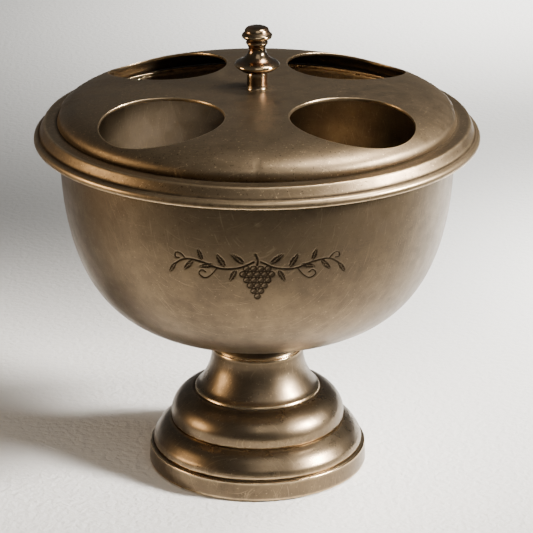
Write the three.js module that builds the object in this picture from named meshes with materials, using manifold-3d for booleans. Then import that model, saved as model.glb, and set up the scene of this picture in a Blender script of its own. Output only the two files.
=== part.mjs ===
// A footed wine cooler in antiqued brass: a deep spun bowl on a stepped pedestal, closed by a domed
// lid that holds four bottles in collared holes and lifts off by a turned finial.
// Millimetres, +Z up. The origin is the centre of the face that stands on the table.
import * as THREE from "three";
import { mergeVertices } from "three/addons/utils/BufferGeometryUtils.js";
import Module from "manifold-3d";

const wasm = await Module();
wasm.setup();

// ---- Driving dimensions -------------------------------------------------------------------------

const CLEARANCE = 0.3; // between two pieces that touch
const SHEET = 2; // thickness of the bowl's spun sheet
const LID_SHEET = 3;

const FELT = { inner: 66, outer: 94, height: 1.5 };

const PLINTH = { bottomRadius: 98.7, topRadius: 97.8, top: 19.2, corner: 2.4, wall: 3, flangeInner: 88 };
const PLINTH_LIP = { inner: 89, bottom: 4.6, top: 7.2 };
const LOWER_RING = { bottomRadius: 92.4, topRadius: 79.4, top: 41.4, wall: 2.6, flangeInner: 71 };
const UPPER_RING = { bottomRadius: 78.2, topRadius: 57.4, top: 70.4, wall: 2.6, flangeInner: 49 };
const NECK = { footRadius: 56.9, footHeight: 1.6, waistRadius: 41.4, waist: 104, top: 111.2, wall: 2.6 };
const COLLAR = { bottomRadius: 37.5, topRadius: 46, innerRadius: 30, top: 134.8 };

// The bowl's outside is (r / radius)^flat + ((mouth - z) / depth)^round = 1.
const BOWL = { radius: 173.6, mouth: 322.4, shoulder: 319.5, depth: 184.4, flat: 3.93, round: 2.58 };
const RIM_WIRE = { radius: 2.5, drop: 2.9 };

const LEDGE = { inner: 167.5, outer: 186.4, top: 325.3, thickness: 2.6 };
const LIP = { radius: 196.6, top: 313.4, bottom: 308.6, root: 317.5, rootRadius: 188.6 };
// The dome's outside is ((z - base) / height)^round + (r / radius)^flat = 1.
const DOME = { radius: 174.6, height: 26.6, flat: 2.5, round: 2.2 };
const LOCATING_RING = { inner: 167.9, outer: 170.6, bottom: 311.5 };

const BOTTLE_HOLE = { count: 4, radius: 53, pitchRadius: 114, lean: 9 };

const STEM = { radius: 9.1, top: 367 };
const STUD = { radius: 4, bottom: 336, top: 378 };
const KNOB_TOP = 408.7;

const TIE_ROD = { radius: 5, bottom: 4.6, top: 151.5 };
const BORE_GAP = 0.3; // radial room around a rod in its hole

const ROUND = { large: 40, medium: 28, small: 12 };

// ---- Shape helpers ------------------------------------------------------------------------------

const point = (radius, height) => new THREE.Vector2(radius, height);
const spread = (count) => Array.from({ length: count + 1 }, (_, i) => i / count);
const degrees = THREE.MathUtils.degToRad;

// Points on a circular or elliptical arc about a centre, from one angle to another, in degrees.
function arc(centre, radiusX, radiusY, from, to, steps) {
  return spread(steps).map((t) => {
    const angle = degrees(from + (to - from) * t);
    return point(centre.x + radiusX * Math.cos(angle), centre.y + radiusY * Math.sin(angle));
  });
}

// Turns an outline about the Z axis. The outline runs anticlockwise, radius to the right, height up.
function turned(outline, segments) {
  const closed = [...outline];
  const onAxis = outline[0].x === 0 && outline.at(-1).x === 0;
  if (!onAxis) closed.push(outline[0].clone());
  return new THREE.LatheGeometry(closed, segments).rotateX(Math.PI / 2);
}

function ring(inner, outer, bottom, top, segments) {
  return turned([point(inner, bottom), point(outer, bottom), point(outer, top), point(inner, top)], segments);
}

function toSolid(geometry) {
  const bare = new THREE.BufferGeometry().setAttribute("position", geometry.getAttribute("position"));
  bare.setIndex(geometry.index);
  const merged = mergeVertices(bare, 1e-3);
  const { array } = merged.getAttribute("position");
  const mesh = new wasm.Mesh({ numProp: 3, vertProperties: array, triVerts: new Uint32Array(merged.index.array) });
  return new wasm.Manifold(mesh);
}

function fromSolid(solid) {
  const { vertProperties, triVerts } = solid.getMesh();
  const geometry = new THREE.BufferGeometry();
  geometry.setAttribute("position", new THREE.BufferAttribute(vertProperties, 3));
  return geometry.setIndex(new THREE.BufferAttribute(triVerts, 1));
}

// ---- Foot ---------------------------------------------------------------------------------------

const bottomFelt = () => ring(FELT.inner, FELT.outer, 0, FELT.height, ROUND.medium);

const PLINTH_BOTTOM = FELT.height + CLEARANCE;
const PLINTH_FLANGE_UNDERSIDE = PLINTH.top - PLINTH.wall;

function plinth() {
  const { bottomRadius, topRadius, top, corner, wall, flangeInner } = PLINTH;
  const cornerCentre = point(topRadius - corner, top - corner);
  return turned(
    [
      point(bottomRadius - wall, PLINTH_BOTTOM),
      point(bottomRadius, PLINTH_BOTTOM),
      ...arc(cornerCentre, corner, corner, 0, 90, 2),
      point(flangeInner, top),
      point(flangeInner, PLINTH_FLANGE_UNDERSIDE),
      point(topRadius - wall, PLINTH_FLANGE_UNDERSIDE),
      point(bottomRadius - wall, PLINTH_LIP.top),
      point(PLINTH_LIP.inner, PLINTH_LIP.top),
      point(PLINTH_LIP.inner, PLINTH_LIP.bottom),
      point(bottomRadius - wall, PLINTH_LIP.bottom),
    ],
    ROUND.large,
  );
}

// A convex ring of the pedestal: a quarter-round face between two radii, with a flange at its top.
function quarterRound({ bottomRadius, topRadius, top, wall, flangeInner }, bottom, bulge, segments) {
  const rise = top - bottom - 1;
  const centre = point(topRadius - bulge, bottom);
  const reach = bottomRadius - centre.x;
  const topAngle = (Math.acos((topRadius - centre.x) / reach) * 180) / Math.PI;
  const stretch = rise / Math.sin(degrees(topAngle));
  return turned(
    [
      ...arc(centre, reach, stretch, 0, topAngle, 5),
      point(topRadius, top),
      point(flangeInner, top),
      point(flangeInner, top - wall),
      ...arc(centre, reach - wall, stretch - wall, topAngle - 8, 0, 2),
    ],
    segments,
  );
}

const lowerRing = () => quarterRound(LOWER_RING, PLINTH.top + CLEARANCE, 6, ROUND.large);
const upperRing = () => quarterRound(UPPER_RING, LOWER_RING.top + CLEARANCE, 2, ROUND.large);

// The neck's flare, as the radius at a share of its height from foot to waist.
const flare = (share) => NECK.waistRadius + (NECK.footRadius - NECK.waistRadius) * (1 - share) ** 2.2;

function neck() {
  const bottom = UPPER_RING.top + CLEARANCE;
  const flareBottom = bottom + NECK.footHeight;
  const face = spread(5).map((t) => point(flare(t), flareBottom + (NECK.waist - flareBottom) * t));
  const inside = face.map(({ x, y }) => point(x - NECK.wall, y)).reverse();
  const topRadius = NECK.waistRadius + 0.8;
  return turned(
    [
      point(NECK.footRadius - NECK.wall, bottom),
      point(NECK.footRadius, bottom),
      ...face,
      point(topRadius, NECK.top),
      point(topRadius - NECK.wall, NECK.top),
      ...inside,
    ],
    ROUND.medium,
  );
}

function collar() {
  const bottom = NECK.top + CLEARANCE;
  const foot = point(NECK.waistRadius - 0.6, bottom);
  const sweep = COLLAR.topRadius - COLLAR.bottomRadius;
  const cove = spread(4).map((t) =>
    point(COLLAR.bottomRadius + sweep * t ** 2.5, bottom + 2 + (COLLAR.top - 1 - bottom - 2) * t),
  );
  return turned(
    [
      point(COLLAR.innerRadius, bottom),
      foot,
      point(foot.x, bottom + 1.2),
      ...cove,
      point(COLLAR.topRadius, COLLAR.top),
      point(COLLAR.innerRadius, COLLAR.top),
    ],
    ROUND.medium,
  );
}

// ---- Bowl ---------------------------------------------------------------------------------------

// The height of the bowl's wall at a radius; inset moves from the outside towards the inside face.
function bowlHeight(radius, inset) {
  const { radius: outer, shoulder, depth, flat, round } = BOWL;
  const across = Math.min(1, radius / (outer - inset)) ** flat;
  return shoulder - (depth - inset) * (1 - across) ** (1 / round);
}

function bowlFace(inset, centreRadius) {
  const outer = BOWL.radius - inset;
  return spread(8).map((t) => {
    const radius = centreRadius + (outer - centreRadius) * Math.sin((t * Math.PI) / 2) ** 0.8;
    return point(radius, bowlHeight(radius, inset));
  });
}

function bowl() {
  const hole = TIE_ROD.radius + BORE_GAP;
  return turned(
    [
      ...bowlFace(0, hole),
      point(BOWL.radius, BOWL.mouth),
      point(BOWL.radius - SHEET, BOWL.mouth),
      ...bowlFace(SHEET, hole).reverse(),
    ],
    ROUND.large,
  );
}

function rimWire() {
  const centre = point(BOWL.radius + CLEARANCE + RIM_WIRE.radius, BOWL.mouth - RIM_WIRE.drop);
  return turned(arc(centre, RIM_WIRE.radius, RIM_WIRE.radius, 0, 300, 5), ROUND.large);
}

// ---- Clamp of the bowl to its foot --------------------------------------------------------------

const BOWL_FLOOR = BOWL.shoulder - BOWL.depth + SHEET;
const SEAL = { outer: 16, bottom: BOWL_FLOOR + CLEARANCE, height: 2 };
const CLAMP_WASHER = { outer: 19, bottom: SEAL.bottom + SEAL.height + CLEARANCE, height: 2 };
const CAP_NUT = { radius: 10.5, bottom: CLAMP_WASHER.bottom + CLAMP_WASHER.height + CLEARANCE, hex: 8, dome: 7 };
// The plate is pressed: its middle stands up over the nut, its rim lies low under the plinth's lip.
const BASE_PLATE = { radius: 95.2, top: 15.9, height: 2.5, riseInner: 56, riseOuter: 60 };
const BASE_WASHER = { outer: 13, top: BASE_PLATE.top - BASE_PLATE.height - CLEARANCE, height: 1.8 };
const BASE_NUT = { radius: 9.8, top: BASE_WASHER.top - BASE_WASHER.height - CLEARANCE, height: 5 };

const tieRod = () => rod(TIE_ROD);

function rod({ radius, bottom, top }) {
  const chamfer = 0.8;
  return turned(
    [
      point(0, bottom),
      point(radius - chamfer, bottom),
      point(radius, bottom + chamfer),
      point(radius, top - chamfer),
      point(radius - chamfer, top),
      point(0, top),
    ],
    ROUND.small,
  );
}

const rodRing = ({ outer, height }, bottom, bore) => ring(bore, outer, bottom, bottom + height, ROUND.small);

// A hexagonal block with a bore; radius is to its corners.
function hexNut(radius, bottom, height, bore) {
  const block = new THREE.CylinderGeometry(radius, radius, height, 6, 1)
    .rotateX(Math.PI / 2)
    .translate(0, 0, bottom + height / 2);
  const hole = new THREE.CylinderGeometry(bore, bore, height + 2, ROUND.small, 1)
    .rotateX(Math.PI / 2)
    .translate(0, 0, bottom + height / 2);
  return toSolid(block).subtract(toSolid(hole));
}

function capNut() {
  const { radius, bottom, hex, dome } = CAP_NUT;
  const bore = TIE_ROD.radius + BORE_GAP;
  const seat = bottom + hex;
  const domeRadius = radius * 0.84;
  const crown = turned(
    [point(0, seat - 1), point(domeRadius, seat - 1), ...arc(point(0, seat), domeRadius, dome, 0, 90, 5)],
    ROUND.small,
  );
  const blindHole = turned(
    [point(0, seat - 2), point(bore, seat - 2), point(bore, TIE_ROD.top + 1), point(0, TIE_ROD.top + 1)],
    ROUND.small,
  );
  return fromSolid(hexNut(radius, bottom, hex, bore).add(toSolid(crown)).subtract(toSolid(blindHole)));
}

const baseNut = () =>
  fromSolid(hexNut(BASE_NUT.radius, BASE_NUT.top - BASE_NUT.height, BASE_NUT.height, TIE_ROD.radius + BORE_GAP));

function basePlate() {
  const { radius, top, height, riseInner, riseOuter } = BASE_PLATE;
  const bore = TIE_ROD.radius + BORE_GAP;
  const rimTop = PLINTH_BOTTOM + height;
  return turned(
    [
      point(bore, top - height),
      point(riseInner, top - height),
      point(riseOuter, PLINTH_BOTTOM),
      point(radius, PLINTH_BOTTOM),
      point(radius, rimTop),
      point(riseOuter + 2, rimTop),
      point(riseInner + 2, top),
      point(bore, top),
    ],
    ROUND.medium,
  );
}

// ---- Lid ----------------------------------------------------------------------------------------

const DOME_BASE = LEDGE.top + CLEARANCE;
const CROWN = DOME_BASE + DOME.height;

function domeHeight(radius, inset) {
  const across = Math.min(1, radius / (DOME.radius - inset)) ** DOME.flat;
  return DOME_BASE + (DOME.height - inset) * (1 - across) ** (1 / DOME.round);
}

function domeFace(inset) {
  const bore = STUD.radius + BORE_GAP;
  const outer = DOME.radius - inset;
  return spread(6).map((t) => {
    const radius = bore + (outer - bore) * Math.sin((t * Math.PI) / 2) ** 0.75;
    return point(radius, domeHeight(radius, inset));
  });
}

// Places a solid made about Z so that it runs through one bottle hole, square to the dome there.
function atHole(geometry, index) {
  const { count, pitchRadius, lean } = BOTTLE_HOLE;
  const around = Math.PI / count + (index * 2 * Math.PI) / count;
  return geometry
    .rotateY(degrees(lean))
    .translate(pitchRadius, 0, domeHeight(pitchRadius, 0))
    .rotateZ(around);
}

function dome() {
  const { radius, count } = BOTTLE_HOLE;
  let solid = toSolid(turned([...domeFace(0).reverse(), ...domeFace(LID_SHEET)], ROUND.large));
  for (let i = 0; i < count; i++) {
    const cutter = new THREE.CylinderGeometry(radius, radius, 60, ROUND.medium, 1).rotateX(Math.PI / 2);
    solid = solid.subtract(toSolid(atHole(cutter, i)));
  }
  return fromSolid(solid);
}

function lidRim() {
  const { inner, outer, top, thickness } = LEDGE;
  const underside = top - thickness;
  const edgeCentre = point(LIP.radius - 3.2, (LIP.top + LIP.bottom) / 2 + 0.2);
  return turned(
    [
      point(inner, underside),
      point(outer - 2.6, underside),
      point(outer - 2, LIP.root - 1.6),
      point(LIP.rootRadius, LIP.root - 2.8),
      point(LIP.radius - 4.4, LIP.top - 1.6),
      point(LIP.radius - 3.4, LIP.bottom),
      ...arc(edgeCentre, 3.2, 2.9, -60, 70, 3),
      point(LIP.rootRadius + 1, LIP.root - 0.6),
      point(LIP.rootRadius, LIP.root),
      point(outer + 1, LIP.root + 1.2),
      point(outer, top - 0.8),
      point(outer - 0.8, top),
      point(inner, top),
    ],
    ROUND.large,
  );
}

function locatingRing() {
  const { inner, outer, bottom } = LOCATING_RING;
  return ring(inner, outer, bottom, LEDGE.top - LEDGE.thickness - CLEARANCE, ROUND.large);
}

// ---- Finial -------------------------------------------------------------------------------------

const STEM_BOTTOM = CROWN + CLEARANCE;
const LID_WASHER = { outer: 11, height: 1.6, top: CROWN - LID_SHEET - CLEARANCE };
const LID_NUT = { radius: 7.8, height: 6, top: LID_WASHER.top - LID_WASHER.height - CLEARANCE };

const stem = () => ring(STUD.radius + BORE_GAP, STEM.radius, STEM_BOTTOM, STEM.top, ROUND.small);

function knob() {
  const bottom = STEM.top + CLEARANCE;
  const bore = STUD.radius + BORE_GAP;
  const saucer = [point(bore, bottom), point(9.6, bottom), point(14.6, bottom + 1.3), point(15.2, bottom + 2)];
  const saucerEdge = arc(point(17.4, bottom + 5.6), 2.2, 2, -80, 60, 3);
  const saucerTop = [point(17.6, bottom + 8), point(12.4, bottom + 10.6), point(8.9, bottom + 14)];
  const waist = [point(7.3, bottom + 19), point(7.5, bottom + 22.5), point(8.8, bottom + 25.4)];
  const bead = [point(9.8, bottom + 26.8), point(9.7, bottom + 28), point(10.8, bottom + 29)];
  const buttonEdge = arc(point(12, bottom + 31.2), 1.5, 1.5, -50, 70, 3);
  const buttonTop = arc(point(0, bottom + 34), 10.9, KNOB_TOP - bottom - 34, 0, 90, 4);
  return turned(
    [
      point(0, STUD.top + 1),
      point(bore, STUD.top + 1),
      ...saucer,
      ...saucerEdge,
      ...saucerTop,
      ...waist,
      ...bead,
      ...buttonEdge,
      ...buttonTop.slice(0, -1),
      point(0, KNOB_TOP),
    ],
    ROUND.small,
  );
}

const lidNut = () =>
  fromSolid(hexNut(LID_NUT.radius, LID_NUT.top - LID_NUT.height, LID_NUT.height, STUD.radius + BORE_GAP));

// ---- Assembly -----------------------------------------------------------------------------------

const finish = (color, metalness, roughness) => new THREE.MeshStandardMaterial({ color, metalness, roughness });
const BRASS = finish(0x8a7353, 1, 0.38);
const BRIGHT_BRASS = finish(0x9a8160, 1, 0.25);
const ZINC_STEEL = finish(0xa5a39b, 1, 0.35);
const RUBBER = finish(0x1d1c1b, 0, 0.8);
const GREEN_FELT = finish(0x2c3a2c, 0, 0.95);

const cooler = new THREE.Group();

function add(name, geometry, material) {
  const mesh = new THREE.Mesh(geometry, material);
  mesh.name = name;
  cooler.add(mesh);
}

const rodBore = TIE_ROD.radius + BORE_GAP;
const studBore = STUD.radius + BORE_GAP;

add("base_felt", bottomFelt(), GREEN_FELT);
add("foot_plinth", plinth(), BRASS);
add("foot_lower_ring", lowerRing(), BRASS);
add("foot_upper_ring", upperRing(), BRASS);
add("foot_neck", neck(), BRASS);
add("foot_collar", collar(), BRASS);
add("base_plate", basePlate(), BRASS);
add("base_washer", rodRing(BASE_WASHER, BASE_WASHER.top - BASE_WASHER.height, rodBore), ZINC_STEEL);
add("base_nut", baseNut(), ZINC_STEEL);
add("tie_rod", tieRod(), ZINC_STEEL);
add("bowl", bowl(), BRASS);
add("bowl_rim_wire", rimWire(), BRASS);
add("bowl_seal", rodRing(SEAL, SEAL.bottom, rodBore), RUBBER);
add("bowl_clamp_washer", rodRing(CLAMP_WASHER, CLAMP_WASHER.bottom, rodBore), BRASS);
add("bowl_cap_nut", capNut(), BRIGHT_BRASS);
add("lid_dome", dome(), BRASS);
add("lid_rim", lidRim(), BRASS);
add("lid_locating_ring", locatingRing(), BRASS);
add("finial_stem", stem(), BRIGHT_BRASS);
add("finial_knob", knob(), BRIGHT_BRASS);
add("finial_stud", rod(STUD), ZINC_STEEL);
add("finial_washer", rodRing(LID_WASHER, LID_WASHER.top - LID_WASHER.height, studBore), ZINC_STEEL);
add("finial_nut", lidNut(), ZINC_STEEL);

export default cooler;
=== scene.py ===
import math

import bmesh
import bpy
from bpy.props import FloatProperty, FloatVectorProperty, PointerProperty
from mathutils import Matrix, Vector, noise


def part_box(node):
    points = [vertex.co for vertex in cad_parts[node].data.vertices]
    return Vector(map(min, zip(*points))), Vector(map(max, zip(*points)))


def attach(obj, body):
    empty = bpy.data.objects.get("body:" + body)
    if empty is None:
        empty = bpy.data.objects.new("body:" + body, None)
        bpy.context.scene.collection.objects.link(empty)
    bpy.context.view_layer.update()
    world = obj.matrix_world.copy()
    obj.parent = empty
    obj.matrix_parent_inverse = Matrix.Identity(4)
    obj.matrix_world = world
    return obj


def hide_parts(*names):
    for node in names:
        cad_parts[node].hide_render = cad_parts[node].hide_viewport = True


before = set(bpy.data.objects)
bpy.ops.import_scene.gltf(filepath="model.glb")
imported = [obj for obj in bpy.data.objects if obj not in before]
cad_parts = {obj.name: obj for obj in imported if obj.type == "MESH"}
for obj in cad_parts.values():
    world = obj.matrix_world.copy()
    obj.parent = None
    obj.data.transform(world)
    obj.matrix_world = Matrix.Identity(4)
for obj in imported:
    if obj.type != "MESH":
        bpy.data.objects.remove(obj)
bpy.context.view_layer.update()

bl_info = {
    "name": "Footed Wine Cooler",
    "version": (1, 0, 0),
    "blender": (4, 5, 0),
    "location": "3D View > Sidebar > Wine Cooler",
    "description": "Builds a lidded wine cooler in antiqued brass around its fixed frame",
    "category": "Object",
}

MM = 0.001
TURN = 2 * math.pi
TIE_ROD_BORE = 5.4  # radius of every hole that the tie rod goes through, in millimetres
STUD_BORE = 4.4  # the same for the finial's stud


# ---- Sizes and colours that a user would change --------------------------------------------------


def length(name, description, millimetres):
    return FloatProperty(name=name, description=description, default=millimetres * MM, unit="LENGTH")


def colour(name, description, hex_value):
    return FloatVectorProperty(
        name=name, description=description, default=linear(hex_value)[:3], subtype="COLOR", size=3
    )


def linear(hex_value):
    """The linear colour, with alpha, of an sRGB hex value such as "#8a7352"."""
    channels = [int(hex_value[i : i + 2], 16) / 255 for i in (1, 3, 5)]
    return tuple(c / 12.92 if c <= 0.04045 else ((c + 0.055) / 1.055) ** 2.4 for c in channels) + (1.0,)


class FootSizes(bpy.types.PropertyGroup):
    plinth_radius: length("Plinth radius", "Radius of the foot where it stands", 98.8)
    plinth_top: length("Plinth top", "Height of the plinth's top edge", 19.2)
    lower_ring_top: length("Lower ring top", "Height of the lower ring's top edge", 41.4)
    upper_ring_top: length("Upper ring top", "Height of the upper ring's top edge", 70.4)
    waist_radius: length("Waist radius", "Radius of the neck at its narrowest", 41.3)
    neck_top: length("Neck top", "Height of the neck's top edge", 111.2)


class BowlSizes(bpy.types.PropertyGroup):
    radius: length("Radius", "Outer radius of the bowl at its mouth", 173.6)
    depth: length("Depth", "Height from the bottom of the bowl to its shoulder", 184.4)
    mouth: length("Mouth height", "Height of the bowl's mouth above the table", 322.2)
    sheet: length("Sheet", "Thickness of the spun sheet", 2.0)
    sprig_width: length("Sprig width", "Width of the engraved vine on the front", 150)
    engraving_depth: length("Engraving depth", "Depth of the engraved vine", 0.45)


class LidSizes(bpy.types.PropertyGroup):
    dome_radius: length("Dome radius", "Radius of the dome where it meets the rim", 174.6)
    dome_height: length("Dome height", "Height of the dome above its rim", 27.0)
    sheet: length("Sheet", "Thickness of the lid's metal", 2.9)
    hole_radius: length("Bottle hole radius", "Radius of each bottle hole", 53.4)
    hole_pitch: length("Bottle hole pitch radius", "Distance of each hole from the axis", 114.3)
    rim_radius: length("Rim radius", "Greatest radius of the overhanging rim", 195.2)


class FinialSizes(bpy.types.PropertyGroup):
    stem_radius: length("Stem radius", "Radius of the plain stem", 8.9)
    saucer_radius: length("Saucer radius", "Greatest radius of the knob", 19.6)
    button_radius: length("Button radius", "Radius of the knob's top button", 13.3)
    top: length("Top", "Height of the knob's top above the table", 408.6)


class FinishColours(bpy.types.PropertyGroup):
    patina: colour("Patina", "Brown antique patina in the low spots", "#494037")
    rubbed: colour("Rubbed brass", "Brass where the patina is rubbed thin", "#75654f")
    # The bare edge colour also paints bright highlight lines along the edges.
    edge: colour("Bare edge", "Brass burnished bare on the edges", "#c2a985")
    # This dark colour is residue in the pits, grooves and engraving, and it also paints shade into creases,
    # seams and the shadow under the bowl.
    grime_and_shade: colour("Groove grime", "Dark residue left in the grooves", "#221b13")
    copper: colour("Copper blush", "Reddish blush on the turned finial", "#a06a46")


class StageSizes(bpy.types.PropertyGroup):
    focal_length: FloatProperty(name="Focal length", description="Focal length of the camera", default=178.6)
    floor_size: length("Floor size", "Side of the square floor", 9000)


# ---- Outlines, in millimetres: radius, height and the length cut off a corner -------------------


def smooth_line(points, spacing=1.2):
    """A smooth line through points, as outline points without cut corners."""
    ends = [points[0], *points, points[-1]]
    line = []
    for before, start, end, after in zip(ends, ends[1:], ends[2:], ends[3:]):
        a, b, c, d = (Vector(p[:2]) for p in (before, start, end, after))
        count = max(2, math.ceil((c - b).length / spacing))
        for i in range(count):
            t = i / count
            at = b * 2 + (c - a) * t + (a * 2 - b * 5 + c * 4 - d) * t**2 + (b * 3 - a - c * 3 + d) * t**3
            line.append((at.x / 2, at.y / 2))
    return line + [points[-1][:2]]


def evenly(line, spacing):
    """The same line with points at a regular spacing."""
    line = [Vector(p[:2]) for p in line]
    total = sum((b - a).length for a, b in zip(line, line[1:]))
    count = max(2, round(total / spacing))
    step, result, travelled, wanted = total / count, [tuple(line[0])], 0.0, total / count
    for a, b in zip(line, line[1:]):
        piece = (b - a).length
        while piece and wanted <= travelled + piece + 1e-9 and len(result) < count:
            result.append(tuple(a.lerp(b, (wanted - travelled) / piece)))
            wanted += step
        travelled += piece
    return result + [tuple(line[-1])]


# ---- Modelling tools ----------------------------------------------------------------------------


def outline_wire(outline, longest=3.0):
    """A bmesh holding an outline as a wire in the XZ plane, its corners rounded and long edges split."""
    bm = bmesh.new()
    verts = [bm.verts.new((p[0] * MM, 0, p[1] * MM)) for p in outline]
    closed = not (outline[0][0] == 0 and outline[-1][0] == 0)
    for a, b in zip(verts, verts[1:] + verts[:1] if closed else verts[1:]):
        bm.edges.new((a, b))
    cuts = {}
    for vert, p in zip(verts, outline):
        if len(p) > 2 and p[2]:
            cuts.setdefault(p[2], []).append(vert)
    for cut, corners in cuts.items():
        rounding = {"affect": "VERTICES", "segments": 4, "profile": 0.5, "material": -1}
        bmesh.ops.bevel(bm, geom=corners, offset=cut * MM, offset_type="OFFSET", **rounding)
    while long_edges := [e for e in bm.edges if e.calc_length() > longest * MM]:
        bmesh.ops.subdivide_edges(bm, edges=long_edges, cuts=1)
    return bm


def mark_relief(bm, dirt_and_shade):
    """Stores on a wire how bare each point is and how dark it is kept.

    Outside corners are rubbed bare, and that bare brass also stands for a painted highlight along the edge.
    Inside corners, and the places listed as (radius, height, reach) in millimetres, stay dark: residue in the
    grooves together with painted shade in creases, at seams and under overhangs.
    """
    worn_and_highlit = bm.verts.layers.float.new("worn_and_highlit")
    grimy_and_shaded = bm.verts.layers.float.new("grimy_and_shaded")
    start = next((v for v in bm.verts if len(v.link_edges) == 1 and v.co.x < 1e-7), bm.verts[:][0])
    chain, edge = [start], min(start.link_edges, key=lambda e: e.index)
    vert = edge.other_vert(start)
    while vert is not start:
        chain.append(vert)
        onward = [e for e in vert.link_edges if e is not edge]
        if not onward:
            break
        edge = onward[0]
        vert = edge.other_vert(vert)
    count = len(chain)
    closed = len(start.link_edges) == 2
    area = sum(a.co.x * b.co.z - b.co.x * a.co.z for a, b in zip(chain, chain[1:] + chain[:1]))
    handed = 1 if area > 0 else -1
    turns, along = [], [0.0]
    for i, at in enumerate(chain):
        before, after = chain[i - 1].co, chain[(i + 1) % count].co
        if closed or 0 < i < count - 1:
            a, b = at.co - before, after - at.co
            turns.append(handed * math.atan2(a.x * b.z - a.z * b.x, a.x * b.x + a.z * b.z))
        else:
            turns.append(0.0)
        along.append(along[-1] + (after - at.co).length)
    whole = along[-1]
    for i, at in enumerate(chain):
        rubbed = hidden = 0.0
        for j, turn in enumerate(turns):
            gap = abs(along[i] - along[j])
            gap = min(gap, whole - gap) if closed else gap
            # Outside corners turn bare and bright, which is rubbing and a painted edge highlight; inside
            # corners turn dark, which is residue and painted shade.
            if gap < 6 * MM and abs(turn) > 0.12:
                rubbed += turn * math.exp(-((gap / (1.1 * MM)) ** 2))
                hidden -= turn * math.exp(-((gap / (1.6 * MM)) ** 2))
        # The listed places are darkened: painted shade where a part is overhung or meets another, with some
        # residue.
        for radius, height, reach in dirt_and_shade:
            distance = math.hypot(at.co.x / MM - radius, at.co.z / MM - height)
            hidden += 0.6 * math.exp(-((distance / reach) ** 2))
        at[worn_and_highlit] = min(1.0, max(0.0, rubbed))
        at[grimy_and_shaded] = min(1.0, max(0.0, hidden))


def sweep(bm, geom, angle, steps, rise=0.0):
    """Spins a wire about Z, lifting it at each step, and leaves the surface open where it ends."""
    path = {"cent": (0, 0, 0), "axis": (0, 0, 1), "dvec": (0, 0, rise), "angle": angle, "steps": steps}
    return bmesh.ops.spin(bm, geom=geom, use_merge=False, use_duplicate=False, **path)["geom_last"]


def repeat_about_axis(bm, count):
    """Copies a sector round Z until it closes, and joins the sectors."""
    sector = bm.verts[:] + bm.edges[:] + bm.faces[:]
    for i in range(1, count):
        copy = bmesh.ops.duplicate(bm, geom=sector)["geom"]
        verts = [g for g in copy if isinstance(g, bmesh.types.BMVert)]
        bmesh.ops.rotate(bm, verts=verts, cent=(0, 0, 0), matrix=Matrix.Rotation(i * TURN / count, 3, "Z"))
    bmesh.ops.remove_doubles(bm, verts=bm.verts[:], dist=2e-6)


def turn_about_axis(bm, steps, sectors=8):
    sweep(bm, bm.verts[:] + bm.edges[:], TURN / sectors, steps // sectors)
    repeat_about_axis(bm, sectors)
    bmesh.ops.recalc_face_normals(bm, faces=bm.faces[:])


def turned(outline, steps=160, dirt_and_shade=(), longest=3.0):
    bm = outline_wire(outline, longest)
    mark_relief(bm, dirt_and_shade)
    turn_about_axis(bm, steps)
    return bm


def finished_piece(name, bm, finish, body, stands_for):
    """Makes the object of a piece, in its finish, ties it to its body and hides the node it stands for."""
    for face in bm.faces:
        face.smooth = True
    mesh = bpy.data.meshes.new(name)
    bm.to_mesh(mesh)
    bm.free()
    mesh.materials.append(material_named(finish))
    piece = bpy.data.objects.new(name, mesh)
    bpy.context.scene.collection.objects.link(piece)
    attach(piece, body)
    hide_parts(stands_for)


def box_of(node):
    """How far a node reaches from the axis, its bottom and its top, in millimetres."""
    low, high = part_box(node)
    return high.x / MM, low.z / MM, high.z / MM


# ---- Materials ----------------------------------------------------------------------------------


def add_node(tree, kind, links=None, **settings):
    """Adds a node. Settings named after an input set its value; links maps inputs to outputs."""
    node = tree.nodes.new(kind)
    for key, value in settings.items():
        if hasattr(node, key):
            setattr(node, key, value)
        else:
            node.inputs[key.replace("_", " ")].default_value = value
    for key, output in (links or {}).items():
        tree.links.new(output, node.inputs[key])
    return node


def blank_material(name):
    """A new material: its nodes, its shader and the place on the piece."""
    material = bpy.data.materials.new(name)
    material.use_nodes = True
    tree = material.node_tree
    tree.nodes.clear()
    shader = add_node(tree, "ShaderNodeBsdfPrincipled")
    add_node(tree, "ShaderNodeOutputMaterial", {"Surface": shader.outputs[0]})
    return tree, shader, add_node(tree, "ShaderNodeTexCoord").outputs["Object"]


def roughen(tree, shader, height, strength, deep):
    """Raises and sinks the surface by a pattern, so many millimetres deep."""
    bump = add_node(tree, "ShaderNodeBump", {"Height": height}, Strength=strength, Distance=deep * MM)
    tree.links.new(bump.outputs[0], shader.inputs["Normal"])


def feed(tree, socket, value):
    """Gives an input either an output to follow or a plain value."""
    if isinstance(value, bpy.types.NodeSocket):
        tree.links.new(value, socket)
    else:
        socket.default_value = value


def ramp(tree, factor, low, high, start=0.0, end=1.0):
    """A smooth change from one number to another as factor goes from low to high."""
    limits = {"From_Min": low, "From_Max": high, "To_Min": start, "To_Max": end}
    node = add_node(tree, "ShaderNodeMapRange", {"Value": factor}, interpolation_type="SMOOTHSTEP", **limits)
    return node.outputs[0]


def mix(tree, factor, a, b):
    """The first colour, covered by the second as far as factor says."""
    node = add_node(tree, "ShaderNodeMix", data_type="RGBA")
    for socket, value in ((0, factor), (6, a), (7, b)):
        feed(tree, node.inputs[socket], value)
    return node.outputs[2]


def arithmetic(tree, operation, a, b, clamp=False):
    node = add_node(tree, "ShaderNodeMath", operation=operation, use_clamp=clamp)
    for socket, value in zip(node.inputs, (a, b)):
        feed(tree, socket, value)
    return node.outputs[0]


def plus(tree, a, b, clamp=False):
    return arithmetic(tree, "ADD", a, b, clamp)


def times(tree, a, b):
    return arithmetic(tree, "MULTIPLY", a, b)


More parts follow.
